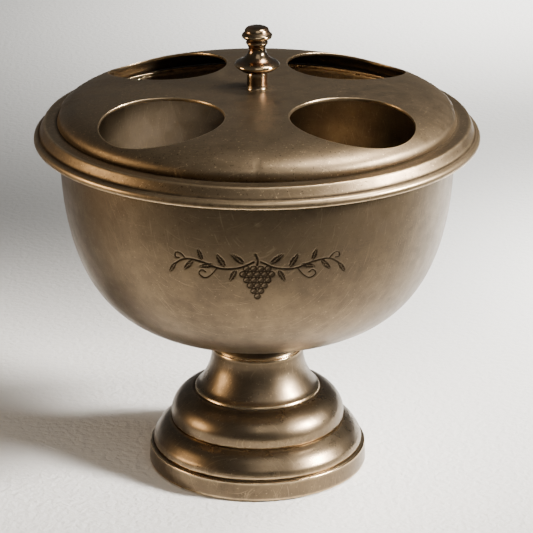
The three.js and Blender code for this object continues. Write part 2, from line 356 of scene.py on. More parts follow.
def grain(tree, place, millimetres, detail=3.0, roughness=0.55, distortion=0.0):
    """Noise whose blots are about so many millimetres across."""
    pattern = {"Scale": 1 / (millimetres * MM * 2), "Detail": detail, "Distortion": distortion}
    node = add_node(tree, "ShaderNodeTexNoise", {"Vector": place}, Roughness=roughness, **pattern)
    return node.outputs[0]


def hairlines(tree, place, turn, width, run):
    """Fine scratches that follow one direction: noise pressed thin across it and drawn out along it."""
    along, across = 1 / (run * MM), 1 / (width * MM)
    place = add_node(tree, "ShaderNodeMapping", {"Vector": place}, Rotation=turn).outputs[0]
    place = add_node(tree, "ShaderNodeMapping", {"Vector": place}, Scale=(along, across, along)).outputs[0]
    return add_node(tree, "ShaderNodeTexNoise", {"Vector": place}, Scale=1.0, Detail=1.0).outputs[0]


def antiqued_brass(name, colours, shine, blush=0.0, speckle=1.0, depth=1.0, rub=0.0):
    """Brass sheet, spun, darkened with acid and rubbed back by hand.

    The patina is brown and cloudy, thin where a hand or cloth reaches and bare gold on the
    edges, where the bare gold also paints a highlight line. The rubbing leaves hairlines, and the acid leaves
    a fine pitted grain.
    Creases, seams and overhung places are darkened: residue together with painted shade.
    """
    tree, shader, place = blank_material(name)
    worn_and_highlit, grimy_and_shaded, engraved = (
        add_node(tree, "ShaderNodeAttribute", attribute_name=name).outputs["Fac"]
        for name in ("worn_and_highlit", "grimy_and_shaded", "engraved")
    )

    clouds = grain(tree, place, 34, detail=4, roughness=0.6, distortion=0.4)
    blots = grain(tree, place, 6.5, detail=4, roughness=0.62)
    pits = grain(tree, place, 0.9, detail=2, roughness=0.6)
    rub_a = hairlines(tree, place, (0, math.radians(38), 0), 0.35, 26)
    rub_b = hairlines(tree, place, (0, math.radians(-52), math.radians(20)), 0.45, 34)
    rub_c = hairlines(tree, place, (math.radians(90), 0, 0), 0.4, 40)

    cloudy = ramp(tree, clouds, 0.3, 0.7, 0.2 + rub, 0.55 + rub)
    thin = plus(tree, cloudy, ramp(tree, blots, 0.3, 0.7, 0.0, 0.3))
    base = mix(tree, thin, (*colours.patina, 1), (*colours.rubbed, 1))
    if blush:
        warm = ramp(tree, grain(tree, place, 9, detail=2), 0.48, 0.7, 0.0, blush)
        base = mix(tree, warm, base, (*colours.copper, 1))
    crossed = plus(tree, ramp(tree, rub_b, 0.67, 0.75, 0.0, 0.5), ramp(tree, rub_c, 0.68, 0.76, 0.0, 0.35))
    scratch = plus(tree, ramp(tree, rub_a, 0.66, 0.74, 0.0, 0.5), crossed, clamp=True)
    base = mix(tree, times(tree, scratch, 0.35), base, (*colours.edge, 1))
    specks = ramp(tree, pits, 0.64, 0.74, 0.0, 0.5 * speckle)
    base = mix(tree, specks, base, (*colours.edge, 1))
    holes = ramp(tree, pits, 0.38, 0.28, 0.0, 0.5 * speckle)
    base = mix(tree, holes, base, (*colours.grime_and_shade, 1))
    # Bare brass on the corners: rubbing, and also a painted highlight along each edge.
    bare_and_highlit = times(tree, worn_and_highlit, ramp(tree, blots, 0.3, 0.55, 0.45, 0.95))
    base = mix(tree, bare_and_highlit, base, (*colours.edge, 1))
    # Dark colour in creases, seams and overhung places: residue, and painted shade.
    dark = times(tree, grimy_and_shaded, ramp(tree, blots, 0.25, 0.6, 0.75, 1.0))
    base = mix(tree, dark, base, (*colours.grime_and_shade, 1))
    base = mix(tree, ramp(tree, engraved, 0.1, 0.7, 0.0, 0.9), base, (*colours.grime_and_shade, 1))
    tree.links.new(base, shader.inputs["Base Color"])

    rough = ramp(tree, blots, 0.3, 0.7, shine + 0.04, shine - 0.03)
    rough = plus(tree, rough, ramp(tree, clouds, 0.3, 0.7, 0.03, -0.02))
    rough = plus(tree, rough, times(tree, grimy_and_shaded, 0.35))
    rough = arithmetic(tree, "SUBTRACT", rough, times(tree, worn_and_highlit, 0.1), clamp=True)
    tree.links.new(rough, shader.inputs["Roughness"])
    shader.inputs["Metallic"].default_value = 1.0

    height = plus(tree, times(tree, pits, 0.5), times(tree, blots, 0.8))
    height = arithmetic(tree, "SUBTRACT", height, times(tree, scratch, 0.35))
    roughen(tree, shader, height, 0.22 * depth, 0.25)


def zinc_plated_steel():
    """Steel fasteners, zinc plated: a bluish grey, faintly spangled shine with duller threads."""
    tree, shader, place = blank_material("zinc_plated_steel")
    spangle = grain(tree, place, 1.6, detail=3)
    base = mix(tree, ramp(tree, spangle, 0.35, 0.65), linear("#85878a"), linear("#b9bbba"))
    tree.links.new(base, shader.inputs["Base Color"])
    tree.links.new(ramp(tree, spangle, 0.3, 0.7, 0.42, 0.28), shader.inputs["Roughness"])
    shader.inputs["Metallic"].default_value = 1.0
    roughen(tree, shader, grain(tree, place, 0.5), 0.1, 0.1)


def moulded_rubber():
    """Moulded black rubber: matt, with a grey bloom and the faint grain of its mould."""
    tree, shader, place = blank_material("moulded_rubber")
    bloom = grain(tree, place, 3.0, detail=4)
    base = mix(tree, ramp(tree, bloom, 0.4, 0.75), linear("#161514"), linear("#2c2a28"))
    tree.links.new(base, shader.inputs["Base Color"])
    tree.links.new(ramp(tree, bloom, 0.3, 0.7, 0.62, 0.78), shader.inputs["Roughness"])
    roughen(tree, shader, grain(tree, place, 0.4), 0.25, 0.1)


def pressed_felt():
    """Pressed wool felt, dyed green: fibres lie every way, so it is soft, fuzzy and uneven."""
    tree, shader, place = blank_material("pressed_wool_felt")
    fibres = hairlines(tree, place, (0, 0, math.radians(25)), 0.3, 3.5)
    others = hairlines(tree, place, (0, 0, math.radians(-65)), 0.3, 3.5)
    tangle = times(tree, plus(tree, fibres, others), 0.5)
    patches = grain(tree, place, 12, detail=3)
    base = mix(tree, ramp(tree, tangle, 0.35, 0.65), linear("#1d2a1e"), linear("#3c4d39"))
    base = mix(tree, ramp(tree, patches, 0.4, 0.7, 0.0, 0.4), base, linear("#2a3a2b"))
    tree.links.new(base, shader.inputs["Base Color"])
    shader.inputs["Roughness"].default_value = 0.95
    shader.inputs["Sheen Weight"].default_value = 0.3
    roughen(tree, shader, tangle, 0.7, 0.4)


def pale_plaster():
    """Painted plaster board: near white and matt, with the low ripple a roller leaves."""
    tree, shader, place = blank_material("rolled_plaster_board")
    shader.inputs["Base Color"].default_value = linear("#e2e1df")
    shader.inputs["Roughness"].default_value = 0.9
    roughen(tree, shader, grain(tree, place, 3.2, detail=3, roughness=0.5, distortion=0.3), 0.9, 1.5)


def material_named(name):
    """The finish of that name, made the first time that a piece asks for it."""
    if name not in bpy.data.materials:
        colours = bpy.context.scene.cooler_finish
        brasses = {
            "spun_brass": {"shine": 0.36},
            "lid_brass": {"shine": 0.38, "speckle": 1.6, "depth": 1.2, "rub": 0.35},
            "bowl_brass": {"shine": 0.37, "speckle": 0.5, "depth": 0.8, "rub": 0.15},
            "foot_brass": {"shine": 0.3, "speckle": 0.8, "depth": 0.9, "rub": 0.1},
            "turned_brass": {"shine": 0.2, "blush": 0.6, "speckle": 0.4, "depth": 0.6},
        }
        others = {
            "zinc_plated_steel": zinc_plated_steel,
            "moulded_rubber": moulded_rubber,
            "pressed_wool_felt": pressed_felt,
            "rolled_plaster_board": pale_plaster,
        }
        if name in brasses:
            antiqued_brass(name, colours, **brasses[name])
        else:
            others[name]()
    return bpy.data.materials[name]


# ---- Foot ---------------------------------------------------------------------------------------


class COOLER_OT_foot(bpy.types.Operator):
    """Make the spun rings of the pedestal, from the plinth up to the collar under the bowl"""

    bl_idname = "cooler.foot"
    bl_label = "Pedestal"

    def execute(self, context):
        foot = context.scene.cooler_foot
        radius, plinth_top = foot.plinth_radius / MM, foot.plinth_top / MM
        ring_low, ring_high = foot.lower_ring_top / MM, foot.upper_ring_top / MM
        waist, neck_top = foot.waist_radius / MM, foot.neck_top / MM

        plinth = [
            (radius - 3.2, 1.8, 0.3), (radius, 1.8, 0.5), (radius - 0.2, 9.0),
            (radius - 0.8, plinth_top - 0.8, 0.7), (radius - 3.2, plinth_top, 0.6),
            (88.5, plinth_top, 0.3), (88.5, plinth_top - 2.6, 0.3), (radius - 3.6, plinth_top - 3.0),
            (radius - 3.2, 7.4, 0.3), (89.4, 7.2, 0.3), (89.4, 4.7, 0.3), (radius - 3.2, 4.6, 0.2),
        ]
        self.ring("foot_plinth_spun", plinth, "foot_plinth", [(94.2, plinth_top + 0.4, 2.6)])

        face = smooth_line(
            [(94.9, 21.8), (93.9, 26.0), (91.4, 30.2), (88.4, 34.3), (84.6, 38.0), (80.9, ring_low - 0.9)]
        )
        lower = [
            (92.0, plinth_top + 0.3), (94.7, plinth_top + 0.3, 0.4), *face, (79.4, ring_low, 0.5),
            (71.6, ring_low, 0.3), (71.6, ring_low - 2.4, 0.3), (78.5, ring_low - 2.8), (86.0, 33.2),
            (90.2, 26.0),
        ]
        self.ring(
            "foot_lower_ring_spun",
            lower,
            "foot_lower_ring",
            [(94.4, plinth_top + 0.6, 2.2), (77.4, ring_low + 0.4, 2.2)],
        )

        face = smooth_line(
            [
                (78.2, 43.4), (78.4, 47.2), (77.8, 52.0), (75.6, 57.4), (71.8, 62.6), (66.6, 67.0),
                (61.0, ring_high - 0.6), (57.8, ring_high),
            ]
        )
        upper = [
            (74.4, ring_low + 0.3), (77.8, ring_low + 0.3, 0.3), *face, (49.4, ring_high, 0.3),
            (49.4, ring_high - 2.4, 0.3), (60.0, ring_high - 3.0), (69.8, 61.2), (74.6, 52.0),
            (75.0, 46.0),
        ]
        self.ring(
            "foot_upper_ring_spun",
            upper,
            "foot_upper_ring",
            [(77.0, ring_low + 0.6, 2.0), (57.4, ring_high + 0.2, 1.8)],
        )

        flare = smooth_line(
            [
                (56.0, ring_high + 2.4), (52.4, ring_high + 5.6), (48.6, 82.2), (45.4, 88.8),
                (43.0, 95.6), (waist + 0.4, 101.8), (waist, 106.4), (waist - 0.1, neck_top - 2.0),
                (waist - 0.7, neck_top - 0.5),
            ]
        )
        neck = [
            (54.2, ring_high + 0.3, 0.2), (56.9, ring_high + 0.3, 0.5), *flare, (waist - 1.7, neck_top),
            (waist - 2.2, neck_top, 0.2), (waist - 2.4, 104.0), (43.0, 88.8), (50.0, 75.4),
        ]
        # The wide dark patch at the neck's top is painted shade under the bowl; the narrow one at its foot
        # sits in the seam.
        self.ring(
            "foot_neck_spun",
            neck,
            "foot_neck",
            [(56.8, ring_high + 0.1, 1.2), (waist - 0.6, neck_top + 0.6, 7.0)],
        )

        cove = [(39.9, neck_top + 1.4), (37.8, 117.6), (38.4, 124.6), (41.2, 130.4), (45.8, 134.3)]
        collar = [
            (30.3, neck_top + 0.3, 0.3), (waist - 0.6, neck_top + 0.3, 0.4),
            *smooth_line(cove), (45.2, 134.8, 0.3),
            (30.3, 134.8, 0.3),
        ]
        # The collar is darkened all over: painted shade in the shadow under the bowl.
        self.ring(
            "foot_collar_turned",
            collar,
            "foot_collar",
            [(41.0, neck_top, 6.0), (40.0, 121.0, 9.0), (45.0, 135.0, 7.0)],
        )
        return {"FINISHED"}

    @staticmethod
    def ring(name, outline, node, dirt_and_shade):
        bm = turned(outline, 180, dirt_and_shade, longest=2.0)
        finished_piece(name, bm, "foot_brass", "stand", node)


class COOLER_OT_base(bpy.types.Operator):
    """Make what closes the foot underneath: the felt ring, the pressed plate and its nut on the tie rod"""

    bl_idname = "cooler.base"
    bl_label = "Base and Tie Rod"

    def execute(self, context):
        outer, _, top = box_of("base_felt")
        inner, cut = 66.2, 0.4
        felt = [(inner, 0.0, cut), (outer, 0.0, cut), (outer, top, cut), (inner, top, cut)]
        bm = turned(felt, 180, longest=1.5)
        for vert in bm.verts:
            fuzz = noise.noise(vert.co / (1.4 * MM))
            vert.co += Vector((vert.co.x, vert.co.y, 0)).normalized() * fuzz * 0.3 * MM
        finished_piece("base_felt_ring", bm, "pressed_wool_felt", "stand", "base_felt")

        plate = [
            (5.3, 13.4, 0.3), (54.5, 13.4, 1.6), (58.8, 1.8, 1.6), (95.1, 1.8, 0.4), (95.1, 4.3, 0.4),
            (60.8, 4.3, 1.6), (56.5, 15.9, 1.6), (5.3, 15.9, 0.3),
        ]
        bm = turned(plate, 160, [(58.0, 5.0, 8.0), (94.6, 1.8, 4.0), (8.0, 13.4, 6.0)])
        finished_piece("base_plate_pressed", bm, "spun_brass", "stand", "base_plate")

        bm = washer("base_washer", TIE_ROD_BORE, 64)
        finished_piece("base_washer_stamped", bm, "zinc_plated_steel", "stand", "base_washer")
        bm = hexagon_nut(*nut_box("base_nut"), TIE_ROD_BORE * MM)
        finished_piece("base_nut_forged", bm, "zinc_plated_steel", "stand", "base_nut")
        bm = threaded_rod("tie_rod", pitch=1.5 * MM)
        finished_piece("tie_rod_rolled", bm, "zinc_plated_steel", "stand", "tie_rod")
        return {"FINISHED"}


def washer(node, bore, steps):
    """A washer that fills a node's box, with its edges rounded."""
    outer, bottom, top = box_of(node)
    cut = min(0.4, (top - bottom) / 3)
    return turned([(bore, bottom, cut), (outer, bottom, cut), (outer, top, cut), (bore, top, cut)], steps)


def nut_box(node):
    """A nut's width across its corners, its bottom and its top, in metres."""
    low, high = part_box(node)
    return high.y - low.y, low.z, high.z


def ring_chain(bm, rings):
    """Skins rings of points, each joined to the next by extruding it; returns the points of each."""
    verts = bmesh.ops.create_circle(bm, segments=len(rings[0]), radius=1)["verts"]
    ring = {vert: i for i, vert in enumerate(verts)}
    edges = bm.edges[:]
    made = []
    for points in rings:
        if made:
            grown = bmesh.ops.extrude_edge_only(bm, edges=edges)["geom"]
            fresh = [g for g in grown if isinstance(g, bmesh.types.BMVert)]
            below = [[e.other_vert(v) for e in v.link_edges] for v in fresh]
            ring = {v: next(ring[b] for b in near if b in ring) for v, near in zip(fresh, below)}
            grown = [g for g in grown if isinstance(g, bmesh.types.BMEdge)]
            edges = [e for e in grown if all(v in ring for v in e.verts)]
        for vert, i in ring.items():
            vert.co = Vector(points[i])
        made.append(ring)
    return made


def hexagon_nut(across_corners, bottom, top, bore):
    """A hexagon nut whose corners are turned off at both ends and whose bore is countersunk."""
    flat = across_corners / 2 * math.cos(math.radians(30))
    face, sunk, slope = flat * 0.95, 0.5 * MM, math.tan(math.radians(28))
    count = 72
    angles = [math.pi / 2 + TURN * i / count for i in range(count)]
    from_flat = [abs((i * TURN / count) % (TURN / 6) - TURN / 12) for i in range(count)]
    sides = [min(across_corners * 0.493, flat / math.cos(angle)) for angle in from_flat]

    def ring(radii, heights):
        return [(r * math.cos(a), r * math.sin(a), z) for r, z, a in zip(radii, heights, angles, strict=True)]

    def level(radius, height):
        return ring([radius] * count, [height] * count)

    bm = bmesh.new()
    rings = [
        level(bore, bottom + sunk),
        level(bore + sunk, bottom),
        level(face, bottom),
        ring(sides, [bottom + (r - face) * slope for r in sides]),
        ring(sides, [top - (r - face) * slope for r in sides]),
        level(face, top),
        level(bore + sunk, top),
        level(bore, top - sunk),
    ]
    ring_chain(bm, [*rings, rings[0]])
    bmesh.ops.remove_doubles(bm, verts=bm.verts[:], dist=2e-6)
    bmesh.ops.recalc_face_normals(bm, faces=bm.faces[:])
    for edge in bm.edges:
        if len(edge.link_faces) == 2 and edge.calc_face_angle(0) > math.radians(22):
            edge.smooth = False
    return bm


def threaded_rod(node, pitch, threaded=9):
    """A rod with a rolled thread at each end, a ridge swept up it in a screw, and a plain shank between."""
    low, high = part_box(node)
    radius, bottom, top = high.x, low.z, high.z
    depth, length, per_turn = 0.6 * pitch, threaded * pitch, 24
    bm = bmesh.new()
    for start in (bottom, top - length):
        end = bmesh.new()
        root = radius - depth
        places = [(root, 0.0), (radius, 0.4), (radius, 0.55), (root, 0.95), (root, 1.0)]
        verts = [end.verts.new((r, 0, start + (share - 1) * pitch)) for r, share in places]
        for a, b in zip(verts, verts[1:]):
            end.edges.new((a, b))
        turns = threaded + 2
        sweep(end, end.verts[:] + end.edges[:], TURN * turns, per_turn * turns, rise=pitch / per_turn)
        bmesh.ops.remove_doubles(end, verts=end.verts[:], dist=0.01 * MM)
        for height, side in ((start, -1), (start + length, 1)):
            whole = end.verts[:] + end.edges[:] + end.faces[:]
            plane = {"plane_co": (0, 0, height), "plane_no": (0, 0, side)}
            bmesh.ops.bisect_plane(end, geom=whole, clear_outer=True, **plane)
            open_edges = [e for e in end.edges if e.is_boundary]
            rim = [e for e in open_edges if all(abs(v.co.z - height) < 1e-6 for v in e.verts)]
            bmesh.ops.edgeloop_fill(end, edges=rim)
        bmesh.ops.recalc_face_normals(end, faces=end.faces[:])
        add_part(bm, end)
    shank = (radius - 0.15 * MM) / MM
    low, high = (bottom + length + 0.01 * MM) / MM, (top - length - 0.01 * MM) / MM
    if high > low:
        add_part(bm, turned([(0, low), (shank, low, 0.3), (shank, high, 0.3), (0, high)], 24))
    return bm


def add_part(bm, part):
    """Moves a finished solid into a piece that is made of several."""
    mesh = bpy.data.meshes.new("part")
    part.to_mesh(mesh)
    part.free()
    bm.from_mesh(mesh)
    bpy.data.meshes.remove(mesh)


# ---- Bowl ---------------------------------------------------------------------------------------


def bowl_line(radius, depth, shoulder, spacing):
    """The bowl's section from its lowest point to its shoulder, flat below and steep above."""
    angles = [math.pi / 2 * i / 399 for i in range(400)]
    round_part = [(math.sin(t) ** (2 / 3.93), math.cos(t) ** (2 / 2.58)) for t in angles]
    return evenly([(radius * out, shoulder - depth * down) for out, down in round_part], spacing)


class COOLER_OT_bowl(bpy.types.Operator):
    """Make the spun bowl with the vine engraved on its front, and the wire in its rolled rim"""

    bl_idname = "cooler.bowl"
    bl_label = "Bowl"

    def execute(self, context):
        bowl = context.scene.cooler_bowl
        radius, depth, mouth = bowl.radius / MM, bowl.depth / MM, bowl.mouth / MM
        sheet, shoulder = bowl.sheet / MM, mouth - 2.7
        middle, half_band = 241.0, 29  # the height of the engraving
        outside = bowl_line(radius, depth, shoulder, 4.5)
        band = [p for p in bowl_line(radius, depth, shoulder, 0.62) if abs(p[1] - middle) < half_band]
        outside = [p for p in outside if p[0] > 5.6 and not abs(p[1] - middle) < half_band + 1]
        lower = [p for p in outside if p[1] < middle]
        upper = [p for p in outside if p[1] > middle]
        inside = [p for p in bowl_line(radius - sheet, depth - sheet, shoulder, 5.5) if p[0] > 5.6]
        bottom = shoulder - depth
        section = [
            (TIE_ROD_BORE, bottom, 0.2), *lower, *band, *upper, (radius, mouth, 0.6),
            (radius - sheet, mouth, 0.6),
            *reversed(inside),
            (TIE_ROD_BORE, bottom + sheet, 0.2),
        ]
        bm = outline_wire(section, longest=6)
        # Painted shade: the bowl darkens at its bottom above the collar and just under its mouth where the
        # lid's rim overhangs.
        mark_relief(bm, [(40.0, 135.2, 12.0), (radius, 306.0, 5.0)])
        engraved = bm.verts.layers.float.new("engraved")
        front, half = -math.pi / 2, math.radians(27)
        bmesh.ops.rotate(bm, verts=bm.verts[:], cent=(0, 0, 0), matrix=Matrix.Rotation(front - half, 3, "Z"))
        last = sweep(bm, bm.verts[:] + bm.edges[:], 2 * half, 240)
        sweep(bm, last, TURN - 2 * half, 110)
        bmesh.ops.remove_doubles(bm, verts=bm.verts[:], dist=5e-6)
        bmesh.ops.recalc_face_normals(bm, faces=bm.faces[:])
        sprig = VineSprig(bowl.sprig_width / MM)
        for vert in bm.verts:
            x, y, z = vert.co
            if y > -0.1 or abs(z / MM - middle) > half_band or math.hypot(x, y) < 0.14:
                continue
            around = math.atan2(x, -y) * radius
            outer = vert.normal.x * x + vert.normal.y * y > 0
            if outer and abs(around) < bowl.sprig_width / MM / 2 + 4:
                amount = sprig.cut(around, z / MM - middle)
                vert[engraved] = amount
                vert.co -= vert.normal * bowl.engraving_depth * amount
        finished_piece("bowl_spun", bm, "bowl_brass", "stand", "bowl")

        outer, low, high = box_of("bowl_rim_wire")
        wire, height = (high - low) / 2, (high + low) / 2
        angles = [TURN * i / 16 for i in range(16)]
        ring = [(outer - wire + wire * math.cos(t), height + wire * math.sin(t)) for t in angles]
        bm = turned(ring, 160, [(outer - 2 * wire, height, 2.0)])
        finished_piece("bowl_rim_rolled", bm, "spun_brass", "stand", "bowl_rim_wire")
        return {"FINISHED"}


class VineSprig:
    """An engraved vine: a bunch of grapes between two curling branches with leaves."""

    def __init__(self, width):
        self.scale = width / 150
        self.strokes = []
        self.leaves = []
        self.grapes = []
        lines = (
            ([(3, 14), (16, 8), (32, 7), (48, 12), (62, 13), (72, 7)], 2.5, 0.75),
            ([(34, 7.4), (40, 0), (46, -3), (50.5, 0.5), (48, 4.4), (44.6, 2.6)], 1.5, 0.5),
            ([(62, 13), (66, 17.5), (70.5, 17.5), (71, 13.6), (67.6, 13.4)], 1.5, 0.5),
        )
        for side in (-1, 1):
            for points, spacing, half_width in lines:
                line = smooth_line([(side * x, y) for x, y in points], spacing)
                self.strokes.append((line, half_width))
            for x, y, turn, long, wide in (
                (11, 12, 38, 15, 4.6), (18, 6, -62, 13, 4.2), (27, 8, 58, 15, 4.6),
                (37, 10, -12, 14, 4.0), (47, 13, 72, 12, 3.8), (55, 12.6, -48, 14, 4.2),
                (71, 8, -55, 13, 3.6),
            ):
                angle = math.radians(turn if side > 0 else 180 - turn)
                self.leaves.append((side * x, y, math.cos(angle), math.sin(angle), long, wide))
        rows = ((4, 7.5), (5, 2.2), (4, -3.1), (3, -8.4), (2, -13.7), (1, -19.0))
        for count, height in rows:
            for i in range(count):
                self.grapes.append(((i - (count - 1) / 2) * 6.1, height))
        self.strokes.append((smooth_line([(0, 11), (0.4, 16), (-1.6, 21)], 2), 0.9))
        self.nearby = {}
        for line, half_width in self.strokes:
            for a, b in zip(line, line[1:]):
                cell_x, cell_y = round((a[0] + b[0]) / 8), round((a[1] + b[1]) / 8)
                for i in (-1, 0, 1):
                    for j in (-1, 0, 1):
                        self.nearby.setdefault((cell_x + i, cell_y + j), []).append((a, b, half_width))

    def cut(self, x, y):
        """How deep the engraving is at a place, from 0 to 1."""
        x, y = x / self.scale, y / self.scale
        deepest = 0.0
        for a, b, half_width in self.nearby.get((round(x / 4), round(y / 4)), ()):
            deepest = max(deepest, soft_step(half_width + 0.35 - self.distance(x, y, a, b), 0.7))
        for left, bottom, cos, sin, long, wide in self.leaves:
            along = (x - left) * cos + (y - bottom) * sin
            across = abs((y - bottom) * cos - (x - left) * sin)
            if 0 < along < long and across < wide:
                share = along / long
                reach = wide / 2 * 2.2 * math.sin(math.pi * share**0.8) ** 0.8
                veins = abs(math.sin((along - across * 0.9) * 1.7)) < 0.24 and across > 0.7
                inside = soft_step(reach / 2 + 0.3 - across, 0.6)
                spared = 1.0 if across < 0.42 or veins else 0.0
                deepest = max(deepest, inside * (1 - 0.8 * spared))
        for left, bottom in self.grapes:
            away = math.hypot(x - left, y - bottom)
            if away < 3.8:
                rim = soft_step(0.75 - abs(away - 2.6), 0.6)
                shade = 0.55 * soft_step(2.8 - away, 0.6) * (1.0 if (x - left) + (bottom - y) > -0.6 else 0.0)
                deepest = max(deepest, rim, shade)
        return deepest

    @staticmethod
    def distance(x, y, a, b):
        run_x, run_y = b[0] - a[0], b[1] - a[1]
        share = ((x - a[0]) * run_x + (y - a[1]) * run_y) / (run_x**2 + run_y**2 + 1e-9)
        share = min(1.0, max(0.0, share))
        return math.hypot(x - a[0] - share * run_x, y - a[1] - share * run_y)


def soft_step(value, width):
    share = min(1.0, max(0.0, value / width))
    return share * share * (3 - 2 * share)


class COOLER_OT_clamp(bpy.types.Operator):
    """Make what holds the bowl to its foot from inside: the rubber seal, the washer and the cap nut"""

    bl_idname = "cooler.clamp"
    bl_label = "Bowl Clamp"

    def execute(self, context):
        outer, bottom, top = box_of("bowl_seal")
        bore = TIE_ROD_BORE
        seal = [(bore, bottom, 0.3), (outer, bottom, 0.8), (outer, top, 0.8), (bore, top, 0.3)]
        finished_piece("bowl_seal_moulded", turned(seal, 72), "moulded_rubber", "stand", "bowl_seal")
        bm = washer("bowl_clamp_washer", bore, 80)
        finished_piece("bowl_clamp_washer_turned", bm, "turned_brass", "stand", "bowl_clamp_washer")

        across, bottom, top = nut_box("bowl_cap_nut")
        seat = bottom + 8 * MM
        bm = hexagon_nut(across, bottom, seat, bore * MM)
        dome_radius, rise, seat = across / 2 / MM * 0.82, (top - seat) / MM, seat / MM
        angles = [math.pi / 2 * i / 12 for i in range(1, 12)]
        crown = [(0, seat - 1.0), (dome_radius, seat - 1.0), (dome_radius, seat + 0.2)]
        crown += [(dome_radius * math.cos(a), seat + 0.2 + (rise - 0.3) * math.sin(a)) for a in angles]
        add_part(bm, turned([*crown, (0, seat + rise - 0.1)], 48))
        finished_piece("bowl_cap_nut_turned", bm, "turned_brass", "stand", "bowl_cap_nut")
        return {"FINISHED"}


# ---- Lid ----------------------------------------------------------------------------------------


class DomeSkin:
    """One face of the lid's dome: flat over the crown, falling steeply at the edge."""

    def __init__(self, base, radius, height):
        self.base, self.radius, self.height = base, radius, height

    def level(self, distance):
        if distance > self.radius - 0.001:
            return self.base
        share = (distance / self.radius) ** 4
        return self.base + self.height * (1 - share) ** (1 / 2.4)


